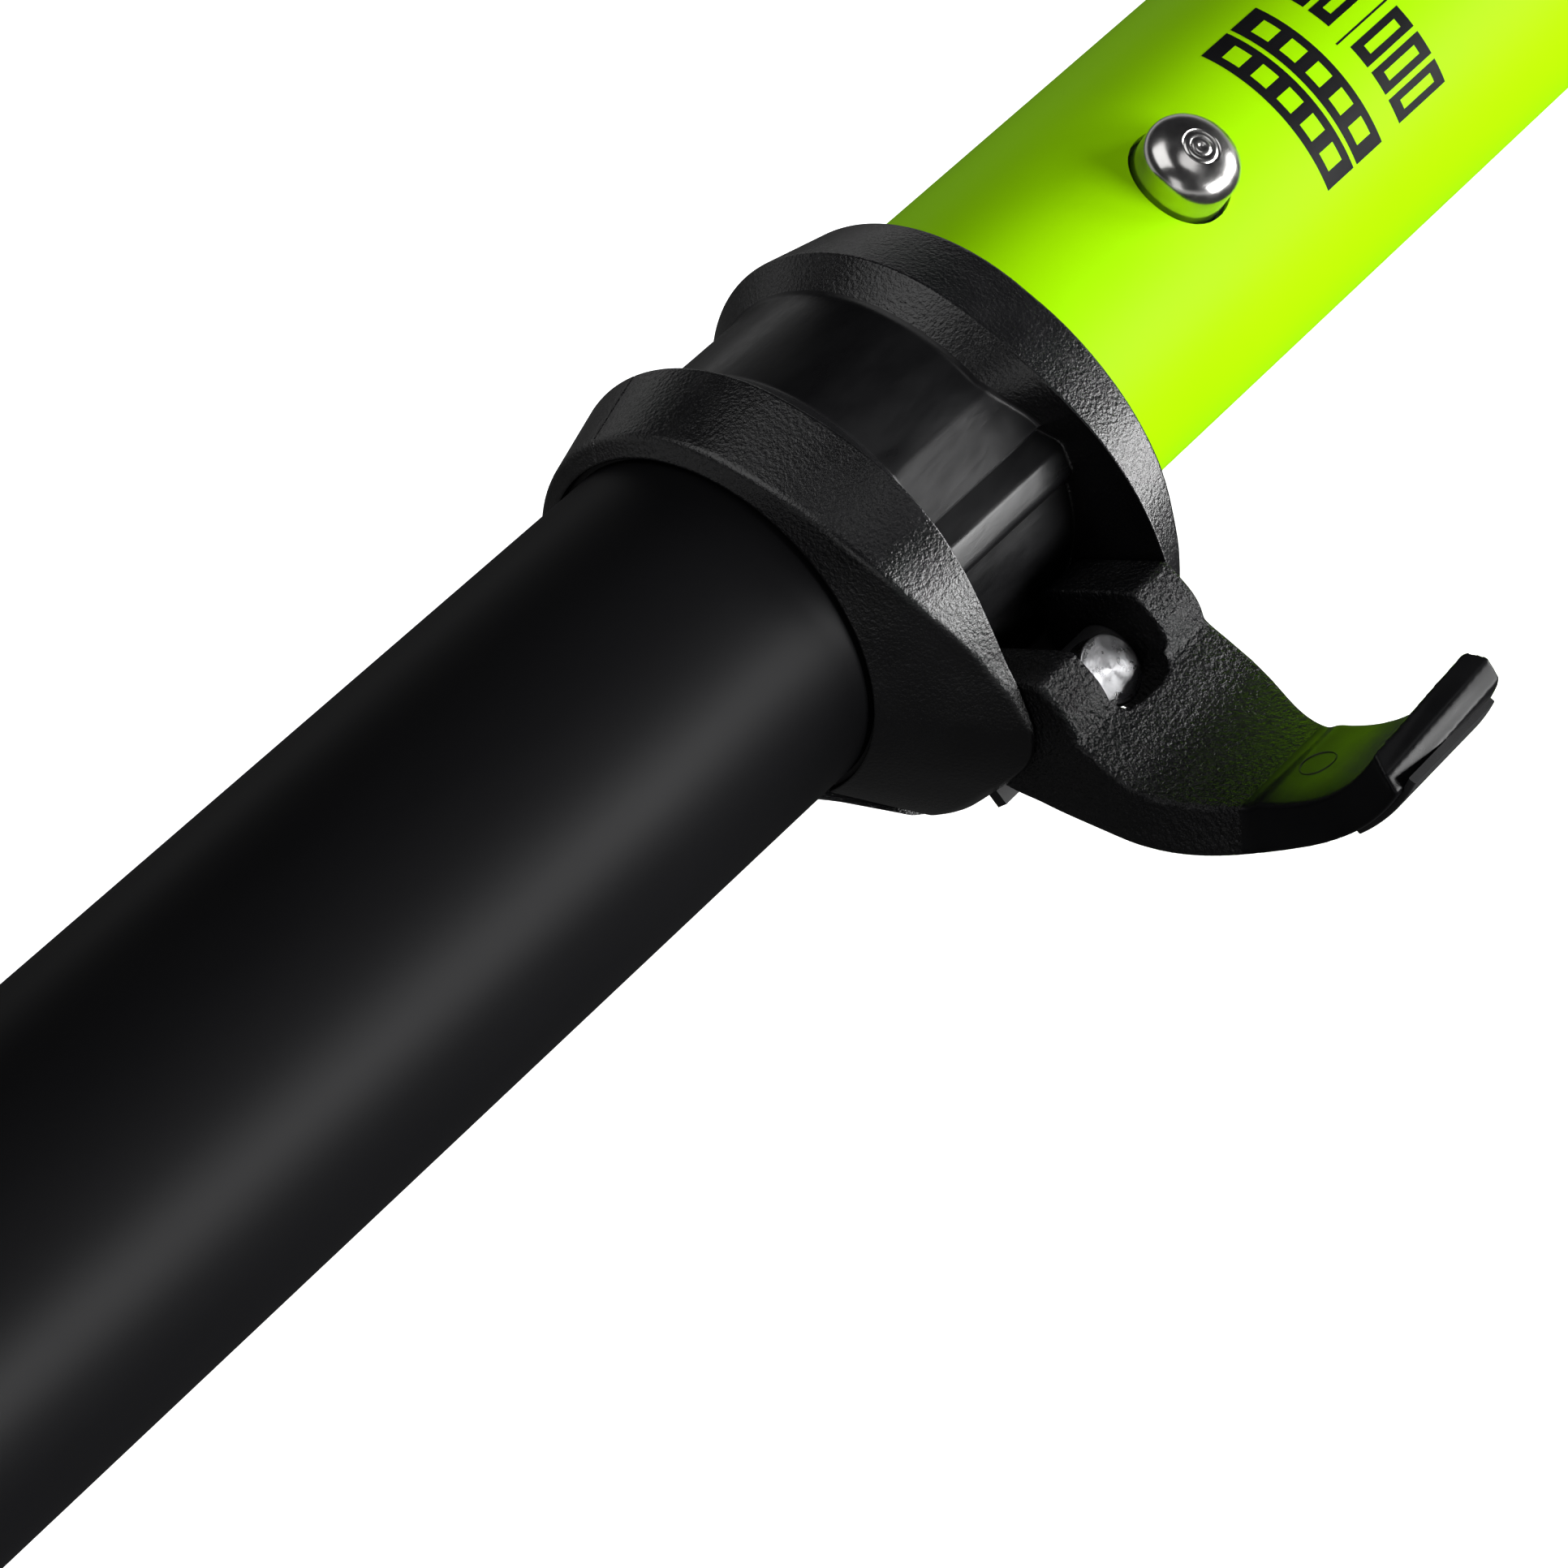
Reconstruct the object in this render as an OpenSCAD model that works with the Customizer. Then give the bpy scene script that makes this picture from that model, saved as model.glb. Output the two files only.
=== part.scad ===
// Two-piece kayak paddle with a lever-lock telescoping ferrule.
// The shaft's axis lies along X, the clamp sits at X = 0, the paddle rests power face down on Z = 0.

/* [Paddle] */
// Overall length with the ferrule pushed home
paddle_length = 2300; // [2100:10:2500]
// Height of the shaft's axis above the ground
axis_height = 42.23; // [40:0.01:60]
// Roll of the clamp and its lever about the shaft, degrees
clamp_roll = 33; // [0:1:60]

/* [Shaft] */
// Outer radius of the black half of the shaft
black_r = 15; // [14.9:0.05:15]
// Outer radius of the green half of the shaft
green_r = 14.73; // [14.6:0.01:14.8]
// Inner radius of both tubes
bore_r = 13.5; // [13.4:0.05:13.6]
// Depth to which the insert reaches into the black half
insert_reach = 235; // [200:5:260]
// Length of the insert held inside the green half
insert_hold = 100; // [80:5:140]

/* [Clamp] */
// Outer radius of the spool that the lever wraps
spool_r = 16.6; // [16.4:0.1:16.8]
// Largest radius of the rim on the black side
near_rim_r = 19; // [18.8:0.1:19.4]
// Largest radius of the rim on the green side
far_rim_r = 18.8; // [18.6:0.1:19.4]
// Width of the lever's channel between the two rims
channel_w = 18.1; // [17.9:0.1:18.4]
// Width of the split that the lever closes
split_w = 2; // [1.5:0.1:2.2]

/* [Lever] */
// Angle through which the open lever swings shut, degrees
lever_swing = 110; // [100:0.5:112]
// Inner radius of the lever's curve
lever_in_r = 17.4; // [17.35:0.05:17.6]
// Outer radius of the lever's curve at mid length
lever_out_r = 20.9; // [20.4:0.1:21.2]
// Width across both ears
ears_w = 17.5; // [17:0.1:17.6]
// Width of the slot between the ears
ear_slot_w = 7.8; // [7:0.1:8]
// Width of the handle
handle_w = 12.2; // [11:0.1:13]
// Radius of the barrel pin
pin_r = 2.8; // [2.6:0.05:2.85]
// Radius of the tension bolt's shank
bolt_r = 2; // [1.9:0.05:2]

/* [Snap button] */
// Distance of the button from the clamp's middle
button_x = 36.9; // [34:0.5:45]
// Radius of the button
button_r = 4.16; // [3.9:0.02:4.16]
// Radius of the hole in the green tube
button_hole_r = 4.5; // [4.4:0.05:4.8]
// Roll of the button about the shaft, degrees
button_roll = 25.6; // [0:0.1:60]

/* [Blades] */
// Length of a blade, from the shaft's end to its tip
blade_length = 470; // [440:5:490]
// Full width of a blade
blade_width = 182; // [170:2:190]
// How far the tip drops below the shaft's axis
blade_spoon = 40; // [30:1:42]
// How far the edges drop below the spine
blade_cup = 9; // [4:0.5:9]
// Slant of the tip, as a share of the half width
blade_slant = 0.16; // [0:0.01:0.2]

/* [Drip rings] */
// Outer radius of a drip ring's cup
drip_r = 29; // [25:1:32]
// Distance from the blade's end of the shaft
drip_inset = 110; // [90:5:150]

/* [Hidden] */

lime = [0.62, 0.92, 0.0];
fine = 96;          // sides of the large rounds, which stay true circles
shaft_end = paddle_length / 2 - blade_length;

// The clamp, measured along the shaft from its middle
near_mouth = -15.9;
near_channel = -channel_w / 2;
far_channel = channel_w / 2;
far_mouth = 15.2;
black_end = 11.7;
green_end = 12.2;
near_mouth_r = 17.15;
far_mouth_r = 17.3;
liner_in_r = black_r + 0.03;
liner_out_r = 15.42;
collar_bore_r = 15.45;

insert_in_r = 12;
bushing_bore_r = 6.05;
bushing_len = 12;

// The lever's hinge, seen along the shaft with the clamp's own up as second coordinate
pivot = [-22, 8.3];
bolt_tilt = 9.4;
pivot_dist = norm(pivot);
pivot_angle = atan2(-pivot[0], pivot[1]);   // from up, towards the lever's side
knuckle_r = 5.3;
cam_shift = 1.2;                            // eccentricity of the cam, towards the shaft when shut
saddle_top = -5.95;                        // below the pivot, along the bolt
saddle_h = 1.1;
bolt_head_top = 4.4;
bolt_head_h = 2.2;
boss_bottom = -16.35;
split_mid = -12.8;
washer_h = 0.8;
nut_h = 3.2;
fit_gap = 0.05;                             // running clearance on a radius
tip_angle = 114;                            // where the handle ends, from the hinge
pad_h = 0.5;
pad_from = 82;
pad_to = 106;

// The snap button and its leaf spring, measured from the shaft's axis
button_rim_h = 17.04;
button_top_h = 18.7;
flange_h = 9.4;
clip_w = 8;
clip_t = 0.6;

// Blade sections
ring_pts = 40;
stub_len = 60;
stub_r = bore_r - 0.06;
throat = 60;                                // length over which the round neck flattens
tip_trim = 2;                               // taken up by the slant at the tip
rivet_x = [shaft_end - 20, shaft_end - 40];

// ---------- places ----------
module on_axis() translate([0, 0, axis_height]) children();
module in_clamp() on_axis() rotate([clamp_roll, 0, 0]) children();
module at_bolt() in_clamp() translate([0, pivot[0], pivot[1]]) rotate([bolt_tilt, 0, 0]) children();
module at_button() on_axis() rotate([button_roll, 0, 0]) translate([button_x, 0, 0]) children();
// Swings the lever from shut to open about its pivot
module opened() translate([0, pivot[0], pivot[1]]) rotate([lever_swing, 0, 0])
    translate([0, -pivot[0], -pivot[1]]) children();
// A round along X from x, and a flat outline drawn across the shaft pushed along X
module rod(x, len, r, r2 = undef) translate([x, 0, 0]) rotate([0, 90, 0])
    cylinder(h = len, r1 = r, r2 = is_undef(r2) ? r : r2, $fn = fine);
module slab(x, len) translate([x, 0, 0]) rotate([90, 0, 90]) linear_extrude(len) children();
module pipe(x, len, r_out, r_in) difference() {
    rod(x, len, r_out);
    rod(x - 1, len + 2, r_in);
}

// ---------- shaft ----------
module shaft_black() color("#1b1c1e") on_axis() difference() {
    pipe(-shaft_end, shaft_end + black_end, black_r, bore_r);
    // Four slots let the mouth close onto the insert
    for (a = [45, 135, 225, 315]) rotate([a, 0, 0])
        translate([black_end - 25, -1, 0]) cube([26, 2, 20]);
    rivet_bores(-1);
}

module shaft_green() color(lime) {
    difference() {
        on_axis() pipe(green_end, shaft_end - green_end, green_r, bore_r);
        at_button() cylinder(h = 20, r = button_hole_r, $fn = fine);
        on_axis() rivet_bores(1);
    }
}

module ferrule_insert() color("#8c8f92") difference() {
    on_axis() pipe(-insert_reach, insert_reach + insert_hold, bore_r - fit_gap, insert_in_r);
    at_button() cylinder(h = 20, r = button_r + 0.08, $fn = fine);
}

module insert_end_plug() color("#2a2b2d") on_axis() {
    rod(-insert_reach - 2, 2, bore_r - fit_gap);
    rod(-insert_reach, 12, insert_in_r - 0.1);
    rod(-insert_reach - 15, 13.01, bushing_bore_r - fit_gap);
}

module guide_bushing() color("#d8d8d2") on_axis() difference() {
    pipe(-insert_reach - 2.2 - bushing_len, bushing_len, bore_r - fit_gap, bushing_bore_r);
    o_ring_groove();
}
module o_ring_groove() translate([-insert_reach - 2.2 - bushing_len / 2, 0, 0]) rotate([0, 90, 0])
    rotate_extrude($fn = fine) translate([11.5, -1.25]) square([4, 2.5]);

module o_ring() color("#151515") on_axis()
    translate([-insert_reach - 2.2 - bushing_len / 2, 0, 0]) rotate([0, 90, 0])
    rotate_extrude($fn = fine) translate([12.5, 0]) circle(r = 0.95, $fn = 24);

module foam_plug(x) color("#d9d5c8") on_axis() rod(x, 45, bore_r - 0.05);
module foam_plug_black() foam_plug(-insert_reach - 80);
module foam_plug_green() foam_plug(insert_hold + 25);

// ---------- clamp ----------
// Outline of a rim: the round plus the teardrop nose and the flat cheek that carries the bolt
module rim_outline(r, lift) {
    circle(r = r, $fn = fine);
    polygon([[3, r - 0.3], [-5, r + lift], [-11, r - 1.1 + lift], [-20.6, 13.2], [-23.2, 10.6], [-24, 6.4],
             [-23.2, 0], [-19.6, -8.6], [-16.6, -11.8], [-13.6, -13.2], [-10, -13], [-6, 0]]);
}
// The cheek between the rims, from the saddle's seat down to the nut's seat
module cheek_outline() intersection() {
    polygon([[-24, 6.4], [-23.2, 0], [-19.6, -8.6], [-16.6, -11.8], [-13.6, -13.2], [-10, -13], [-13, 2], [-14, 6]]);
    translate(pivot) rotate(bolt_tilt) translate([-10, boss_bottom])
        square([20, saddle_top - saddle_h - boss_bottom]);
}

module clamp_collar() color("#1f2023") difference() {
    in_clamp() {
        rod(near_mouth, near_channel - near_mouth, near_mouth_r, near_rim_r);
        rod(near_channel - 0.01, channel_w + 0.02, spool_r);
        rod(far_channel, far_mouth - far_channel, far_rim_r, far_mouth_r);
        // Noses of the two rims, with slanted outer faces
        difference() {
            slab(near_channel - 6, 6) rim_outline(near_mouth_r, 1);
            nose_slant(near_channel, -1);
        }
        difference() {
            slab(far_channel, 4.6) rim_outline(far_rim_r - 1, 1.1);
            nose_slant(far_channel, 1);
        }
        slab(near_channel - 0.01, channel_w + 0.02) cheek_outline();
    }
    in_clamp() rod(near_mouth - 1, far_mouth - near_mouth + 2, collar_bore_r);
    at_bolt() {
        translate([-25, -9, split_mid - split_w / 2]) cube([50, 18, split_w]);
        translate([0, 0, boss_bottom - 5]) cylinder(h = 30, r = bolt_r + 0.3, $fn = 48);
        // Seat of the nut's washer
        translate([-6, -8, boss_bottom - 10]) cube([12, 16, 10]);
    }
}
// Cuts a rim's nose thin towards its tip; side is -1 towards the black half
module nose_slant(x, side) translate([x + side * 1.2, -26, 0]) rotate([0, 0, -side * 19])
    translate([side > 0 ? 0 : -20, -10, -40]) cube([20, 60, 80]);

module clamp_liner() color("#3a3b3e") difference() {
    in_clamp() pipe(near_mouth + 0.1, 27.6, liner_out_r, liner_in_r);
    at_bolt() translate([-25, -9, split_mid - split_w / 2]) cube([50, 18, split_w]);
}

module cam_saddle() color("#a8abae") at_bolt() difference() {
    translate([-8, -4.2, saddle_top - saddle_h]) cube([16, 7.6, saddle_h]);
    translate([0, 0, -10]) cylinder(h = 10, r = bolt_r + 0.25, $fn = 48);
}

module barrel_pin() color("#b9bcc0") at_bolt() difference() {
    rod(-ears_w / 2 + 0.4, ears_w - 0.8, pin_r);
    translate([0, 0, -5]) cylinder(h = 10, r = bolt_r + fit_gap, $fn = 48);
    translate([0, 0, bolt_head_top - bolt_head_h]) cylinder(h = 4, r = 3.1, $fn = 48);
}

module tension_bolt() color("#d4d6d8") at_bolt() {
    translate([0, 0, bolt_head_top - bolt_head_h]) cylinder(h = bolt_head_h, r = 2.9, $fn = 48);
    translate([0, 0, boss_bottom - 5.5])
        cylinder(h = bolt_head_top - bolt_head_h - boss_bottom + 5.5, r = bolt_r, $fn = 48);
}

module bolt_washer() color("#b9bcc0") at_bolt() difference() {
    translate([0, 0, boss_bottom - washer_h]) cylinder(h = washer_h, r = 4, $fn = 48);
    translate([0, 0, boss_bottom - 2]) cylinder(h = 4, r = bolt_r + 0.15, $fn = 48);
}

module adjust_nut() color("#c9cbce") at_bolt() difference() {
    translate([0, 0, boss_bottom - washer_h - 0.05 - nut_h]) cylinder(h = nut_h, r = 4.04, $fn = 6);
    translate([0, 0, boss_bottom - 8]) cylinder(h = 10, r = bolt_r + fit_gap, $fn = 48);
}

// ---------- lever ----------
// A point at radius r, turned by angle a around the shaft from the hinge, with the lever shut
function on_curve(r, a) = [r * sin(a - pivot_angle), r * cos(a - pivot_angle)];
// The back of the lever swells towards the hinge
function back_r(a) = lever_out_r + 0.0019 * pow(max(0, 62 - a), 2);
function lever_back(from, to) = [for (a = [from:4:to]) on_curve(back_r(a), a)];
function lever_face(from, to) = [for (a = [from:4:to]) on_curve(lever_in_r, a)];
function reversed(list) = [for (i = [len(list) - 1:-1:0]) list[i]];

module lever_outline(from, to) polygon(concat(lever_back(from, to), reversed(lever_face(from, to))));
module knuckle_outline() {
    translate(pivot * (1 - cam_shift / pivot_dist)) circle(r = knuckle_r, $fn = 48);
    polygon([on_curve(26.2, 6), on_curve(26.5, 14), on_curve(25, 20), on_curve(lever_in_r, 20),
             on_curve(lever_in_r + 0.6, 8), on_curve(22, 4)]);
}

module lever() color("#26272a") in_clamp() opened() difference() {
    union() {
        slab(-ears_w / 2, ears_w) {
            knuckle_outline();
            lever_outline(14, 30);
        }
        slab(-ears_w / 2 + 1.4, ears_w - 2.8) lever_outline(30, 38);
        slab(-handle_w / 2, handle_w) lever_outline(30, tip_angle);
    }
    slab(-ear_slot_w / 2, ear_slot_w) translate(pivot) circle(r = 7.2, $fn = 48);
    slab(-20, 40) translate(pivot) circle(r = pin_r + fit_gap, $fn = 48);
}

// A thin thumb pad on the back of the handle
module lever_pad() color("#2e2f33") in_clamp() opened() slab(-5.4, 10.8) polygon(concat(
    [for (a = [pad_from:4:pad_to]) on_curve(lever_out_r + 0.01, a)],
    [for (a = [pad_to:-4:pad_from]) on_curve(lever_out_r + pad_h, a)]));

// ---------- snap button ----------
module snap_button() color("#d7d9db") at_button() rotate_extrude($fn = fine)
    polygon([[0, 7], [1.6, 7], [1.6, flange_h], [5, flange_h], [5, flange_h + 1],
             [button_r, flange_h + 1], [button_r, button_rim_h], [3.6, button_rim_h + 0.75],
             [2.6, button_rim_h + 1.3], [1.65, button_rim_h + 1.55], [0.8, button_top_h], [0, button_top_h]]);

// A bent leaf: one leg lies on the insert's far wall, the other carries the button
module spring_clip() color("#9fa2a5") at_button() difference() {
    translate([0, clip_w / 2, 0]) rotate([90, 0, 0]) linear_extrude(clip_w) polygon([
        [6, flange_h - 0.05], [-6, flange_h - 0.05], [-46, -6.8], [-46, -9.6], [6, -11.1], [6, -11.1 + clip_t],
        [-45.2, -9.1], [-45.2, -7.1], [-5.8, flange_h - 0.05 - clip_t], [6, flange_h - 0.05 - clip_t]]);
    cylinder(h = 20, r = 1.7, $fn = 32);
}

// ---------- drip rings ----------
module drip_ring(x, bore, side) on_axis() translate([x, 0, 0]) rotate([0, side * 90, 0])
    rotate_extrude($fn = fine) polygon([[bore, 0], [bore + 2.6, 0], [bore + 2.8, 7], [22, 8.5],
        [drip_r - 1.2, 14], [drip_r, 14], [drip_r, 13], [23, 6.4], [bore + 4.4, 4.6],
        [bore + 4.2, -6], [bore + 2, -7], [bore, -7]]);
module drip_ring_black() color("#101113") drip_ring(-shaft_end + drip_inset, black_r + fit_gap, -1);
module drip_ring_green() color("#101113") drip_ring(shaft_end - drip_inset, green_r + fit_gap, 1);

// ---------- blades ----------
function smooth(t) = let (c = min(1, max(0, t))) c * c * (3 - 2 * c);
// Half width at a share u of the length
function half_width(u) = let (wide = blade_width / 2, grow = 0.6)
    u < grow ? 15 + (wide - 15) * pow(sin(90 * pow(u / grow, 0.86)), 1.12)
             : wide * pow(max(0, 1 - pow((u - grow) / (1 - grow), 2.7)), 1 / 2.7);
function blade_drop(u) = -blade_spoon * pow(u, 1.7);
// Half thickness over the share v of the half width: thin edges and a spine that fades to the tip
function half_thick(u, v) = 0.9 + (1 - v * v) + (8.5 * pow(1 - u, 2) + 0.6) * exp(-pow(v * (3 + 6 * u), 2));
function blade_point(u, a) = let (
    v = cos(a), side = sin(a), w = half_width(u), m = smooth(u * blade_length / throat),
    flat_y = v * w, flat_z = blade_drop(u) - blade_cup * v * v * pow(2 * w / blade_width, 1.5)
        + sign(side) * half_thick(u, v) * pow(abs(side), 0.35),
    lean = blade_slant * v * w * smooth((u - 0.1) / 0.9))
    [u * (blade_length - tip_trim) + lean, (1 - m) * black_r * v + m * flat_y,
     (1 - m) * (black_r * side + blade_drop(u)) + m * flat_z];
function plain_ring(x, r) = [for (i = [0:ring_pts - 1]) let (a = 360 * i / ring_pts) [x, r * cos(a), r * sin(a)]];
blade_steps = concat([0, 0.02, 0.045, 0.07, 0.095, 0.12, 0.145], [for (i = [1:17]) 0.145 + 0.045 * i],
                     [0.94, 0.965, 0.985, 0.996]);
blade_rings = concat([plain_ring(-stub_len, stub_r), plain_ring(0, stub_r), plain_ring(0, black_r)],
    [for (u = blade_steps) if (u > 0) [for (i = [0:ring_pts - 1]) blade_point(u, 360 * i / ring_pts)]]);
ring_faces = [for (k = [0:len(blade_rings) - 2], i = [0:ring_pts - 1])
    let (j = (i + 1) % ring_pts, p = k * ring_pts, q = p + ring_pts) each [[p + i, p + j, q + j], [p + i, q + j, q + i]]];
module blade_solid() polyhedron(points = [for (ring = blade_rings) each ring],
    faces = concat([[for (i = [0:ring_pts - 1]) i]], [for (f = ring_faces) reversed(f)],
        [[for (i = [ring_pts - 1:-1:0]) (len(blade_rings) - 1) * ring_pts + i]]));
module blade_black() color("#17181a") on_axis() mirror([1, 0, 0]) translate([shaft_end, 0, 0]) blade_solid();
module blade_green() color("#17181a") on_axis() translate([shaft_end, 0, 0]) blade_solid();

// Two rivets on each side hold a blade's stub in its shaft
module rivet_bores(side) for (x = rivet_x, a = [0, 180]) rotate([a, 0, 0])
    translate([side * x, 0, 0]) cylinder(h = 20, r = 2.05, $fn = 32);
module rivets(side, r) for (x = rivet_x, a = [0, 180]) rotate([a, 0, 0]) translate([side * x, 0, 0]) {
    translate([0, 0, 9]) cylinder(h = r - 9, r = 2, $fn = 32);
    translate([0, 0, r]) cylinder(h = 0.9, r1 = 3.4, r2 = 2.2, $fn = 32);
}
module blade_rivets_black() color("#b9bcc0") on_axis() rivets(-1, black_r);
module blade_rivets_green() color("#b9bcc0") on_axis() rivets(1, green_r);

shaft_black();
blade_black();
blade_rivets_black();
foam_plug_black();
drip_ring_black();
clamp_collar();
clamp_liner();
cam_saddle();
barrel_pin();
tension_bolt();
bolt_washer();
adjust_nut();
lever();
lever_pad();
guide_bushing();
o_ring();
insert_end_plug();
ferrule_insert();
shaft_green();
snap_button();
spring_clip();
foam_plug_green();
drip_ring_green();
blade_green();
blade_rivets_green();
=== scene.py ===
"""A two-piece paddle joined by a lever-lock clamp, dressed for a plain studio."""

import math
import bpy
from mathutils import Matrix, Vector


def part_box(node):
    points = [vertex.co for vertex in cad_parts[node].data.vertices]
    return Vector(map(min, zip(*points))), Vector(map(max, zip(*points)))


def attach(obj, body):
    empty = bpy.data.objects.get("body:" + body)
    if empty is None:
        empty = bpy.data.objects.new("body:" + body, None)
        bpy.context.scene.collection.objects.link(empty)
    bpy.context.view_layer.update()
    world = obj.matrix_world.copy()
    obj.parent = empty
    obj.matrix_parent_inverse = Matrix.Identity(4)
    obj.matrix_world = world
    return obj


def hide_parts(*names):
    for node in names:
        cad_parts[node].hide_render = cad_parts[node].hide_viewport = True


bl_info = {
    "name": "Lever-lock paddle",
    "version": (1, 0, 0),
    "blender": (4, 5, 0),
    "location": "View3D > Sidebar > Paddle",
    "description": "Builds the shafts, clamp, lever, snap button and blades of a two-piece paddle",
    "category": "Add Mesh",
}

import bmesh
import bpy
import numpy as np
from mathutils import Matrix, Vector

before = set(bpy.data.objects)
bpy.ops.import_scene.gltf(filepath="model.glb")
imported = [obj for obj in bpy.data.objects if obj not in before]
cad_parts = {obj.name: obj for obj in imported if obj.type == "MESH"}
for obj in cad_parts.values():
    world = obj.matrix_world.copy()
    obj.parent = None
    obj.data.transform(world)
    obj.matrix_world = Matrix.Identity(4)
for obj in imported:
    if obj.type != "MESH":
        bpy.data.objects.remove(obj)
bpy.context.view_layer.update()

# ---------- the frame's own sizes, in millimetres ----------
MM = 0.001
shaft_low, shaft_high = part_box("shaft_black")
AXIS_HEIGHT = (shaft_low.z + shaft_high.z) / 2 / MM
SHAFT_END = -shaft_low.x / MM
SHAFT_SHARED = shaft_high.x / MM          # where the black tube's mouth ends inside the clamp
GREEN_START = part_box("shaft_green")[0].x / MM

CLAMP_ROLL = math.radians(33)
BUTTON_ROLL = math.radians(25.6)
BUTTON_X = 36.9
PIVOT = (-22, 8.3)                        # the lever's hinge across the shaft, in the clamp's frame
PIVOT_ANGLE = math.degrees(math.atan2(-PIVOT[0], PIVOT[1]))
SWING = math.radians(110)
BOLT_TILT = math.radians(9.4)
SPOOL_R = 16.6
BORE_R = 13.5
TUBE_SIDES = 192
FINE_SIDES = 96


def shifted(x, y, z):
    """A move by that many millimetres."""
    return Matrix.Translation((x, y, z))


def rolled(angle):
    """A turn about the shaft's direction."""
    return Matrix.Rotation(angle, 4, "X")


ON_AXIS = shifted(0, 0, AXIS_HEIGHT)
IN_CLAMP = ON_AXIS @ rolled(CLAMP_ROLL)
AT_PIVOT = IN_CLAMP @ shifted(0, *PIVOT)
AT_BOLT = AT_PIVOT @ rolled(BOLT_TILT)
OPENED = AT_PIVOT @ rolled(SWING) @ shifted(0, -PIVOT[0], -PIVOT[1])
AT_BUTTON = ON_AXIS @ rolled(BUTTON_ROLL) @ shifted(BUTTON_X, 0, 0)


# ---------- outlines ----------
def smooth(t):
    """Eases from 0 to 1."""
    t = min(1.0, max(0.0, t))
    return t * t * (3 - 2 * t)


def curve_through(points, at):
    """The height at one place on a smooth curve through (place, height) points."""
    xs, ys = zip(*points)
    k = min(max(int(np.searchsorted(xs, at)) - 1, 0), len(xs) - 2)
    slopes = []
    for i in (k, k + 1):
        left = (ys[i] - ys[i - 1]) / (xs[i] - xs[i - 1]) if i else 0
        right = (ys[i + 1] - ys[i]) / (xs[i + 1] - xs[i]) if i + 1 < len(xs) else 0
        slopes.append(0 if left * right <= 0 else 2 * left * right / (left + right))
    span = xs[k + 1] - xs[k]
    t = min(1.0, max(0.0, (at - xs[k]) / span))
    return ((1 + 2 * t) * (1 - t) ** 2 * ys[k] + t * (1 - t) ** 2 * span * slopes[0]
            + t * t * (3 - 2 * t) * ys[k + 1] - t * t * (1 - t) * span * slopes[1])


def soften(points, radii, closed=True, arc=3):
    """Rounds each corner of an outline; every corner gives the same number of points."""
    points = [np.array(p, float) for p in points]
    count = len(points)
    radii = radii if hasattr(radii, "__len__") else [radii] * count
    out = []
    for i, p in enumerate(points):
        if not closed and i in (0, count - 1):
            out.append(p)
            continue
        back, ahead = points[i - 1] - p, points[(i + 1) % count] - p
        far_back, far_ahead = np.linalg.norm(back) + 1e-9, np.linalg.norm(ahead) + 1e-9
        reach = min(radii[i], 0.36 * far_back, 0.36 * far_ahead)
        start, end = p + back / far_back * reach, p + ahead / far_ahead * reach
        out.append(p + back / far_back * reach * 1.3)
        for t in np.linspace(0, 1, arc + 2):
            out.append((1 - t) ** 2 * start + 2 * t * (1 - t) * p + t * t * end)
        out.append(p + ahead / far_ahead * reach * 1.3)
    return out


# ---------- meshes ----------
def loft(rings, around=False, ends=True):
    """Skins closed rings of equal length; around joins the last ring to the first."""
    rings = np.array(rings, float)
    count, size = rings.shape[:2]
    faces = []
    for k in range(count if around else count - 1):
        p, q = k * size, (k + 1) % count * size
        for i in range(size):
            j = (i + 1) % size
            faces.append((p + i, p + j, q + j, q + i))
    if ends and not around:
        faces.append(tuple(range(size - 1, -1, -1)))
        faces.append(tuple(range((count - 1) * size, count * size)))
    return rings.reshape(-1, 3), faces


def lathe(outline, steps=128, closed=True):
    """Turns an outline of (height, radius) about Z: a ring, or a solid with its ends on the axis."""
    rings = []
    if closed:
        for a in np.linspace(0, 2 * math.pi, steps, endpoint=False):
            rings.append([(r * math.cos(a), r * math.sin(a), h) for h, r in outline])
        return loft(rings, around=True)
    for h, r in outline:
        turn = np.linspace(0, 2 * math.pi, steps, endpoint=False)
        rings.append([(max(r, 0.01) * math.cos(a), max(r, 0.01) * math.sin(a), h) for a in turn])
    return loft(rings)


ALONG_X = Matrix.Rotation(math.radians(90), 4, "Y")   # stands a turned piece along the shaft


def mesh_object(name, shape, place, crease=35):
    """A closed mesh in its own frame, with edges sharper than crease degrees kept crisp."""
    verts, faces = shape
    mesh = bpy.data.meshes.new(name)
    mesh.from_pydata((np.array(verts) * MM).tolist(), [], faces)
    bm = bmesh.new()
    bm.from_mesh(mesh)
    bmesh.ops.remove_doubles(bm, verts=bm.verts, dist=1e-7)
    bmesh.ops.recalc_face_normals(bm, faces=bm.faces)
    bm.to_mesh(mesh)
    bm.free()
    piece = bpy.data.objects.new(name, mesh)
    bpy.context.scene.collection.objects.link(piece)
    at = place.copy()
    at.translation = at.translation * MM
    piece.matrix_world = at
    shade(piece, crease)
    return piece


def shade(piece, crease):
    """Smooth shading that breaks at the crease angle."""
    mesh = piece.data
    mesh.polygons.foreach_set("use_smooth", [True] * len(mesh.polygons))
    mesh.set_sharp_from_angle(angle=math.radians(crease))


def changed(piece, kind, **settings):
    """Runs one modifier on a piece and keeps its result."""
    modifier = piece.modifiers.new(kind, kind)
    for key, value in settings.items():
        setattr(modifier, key, value)
    bpy.context.view_layer.update()
    evaluated = piece.evaluated_get(bpy.context.evaluated_depsgraph_get())
    result = bpy.data.meshes.new_from_object(evaluated)
    piece.modifiers.clear()
    piece.data = result


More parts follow.
